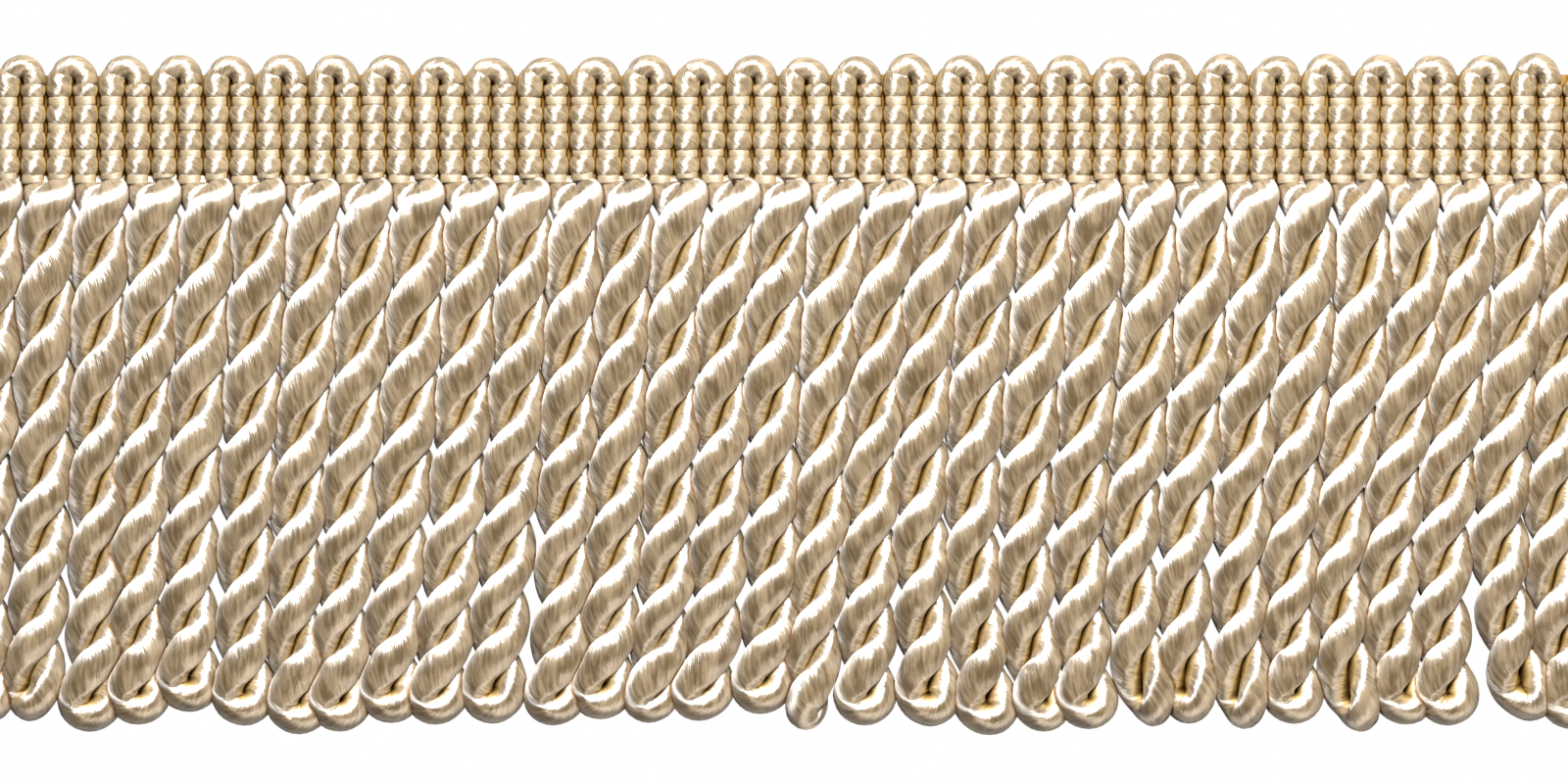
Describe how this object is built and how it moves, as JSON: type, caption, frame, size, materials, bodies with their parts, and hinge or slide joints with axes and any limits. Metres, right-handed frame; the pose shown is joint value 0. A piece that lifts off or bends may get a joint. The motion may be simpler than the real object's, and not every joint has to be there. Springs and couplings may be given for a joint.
{
  "type": "bullion fringe",
  "caption": "Cut length of satin bullion fringe lying face up: looped top edge, ribbed heading bound in rows, and twisted cords that hang below it.",
  "frame": {"origin": "middle of the heading's flat back, on the surface that the fringe lies on", "axes": "+X along the trimming, to the right when looking at its face; +Y across it, from the bullions to the looped top edge; +Z out of its face"},
  "size_m": [0.1834, 0.0765, 0.0055],
  "materials": {
    "satin_cord": "ivory satin rayon cord, warm in its folds",
    "binding_yarn": "wheat-coloured satin binding yarn"
  },
  "bodies": {
    "root": {"heading": "binding_yarn", "bullion_skirt": "satin_cord"}
  },
  "joints": []
}
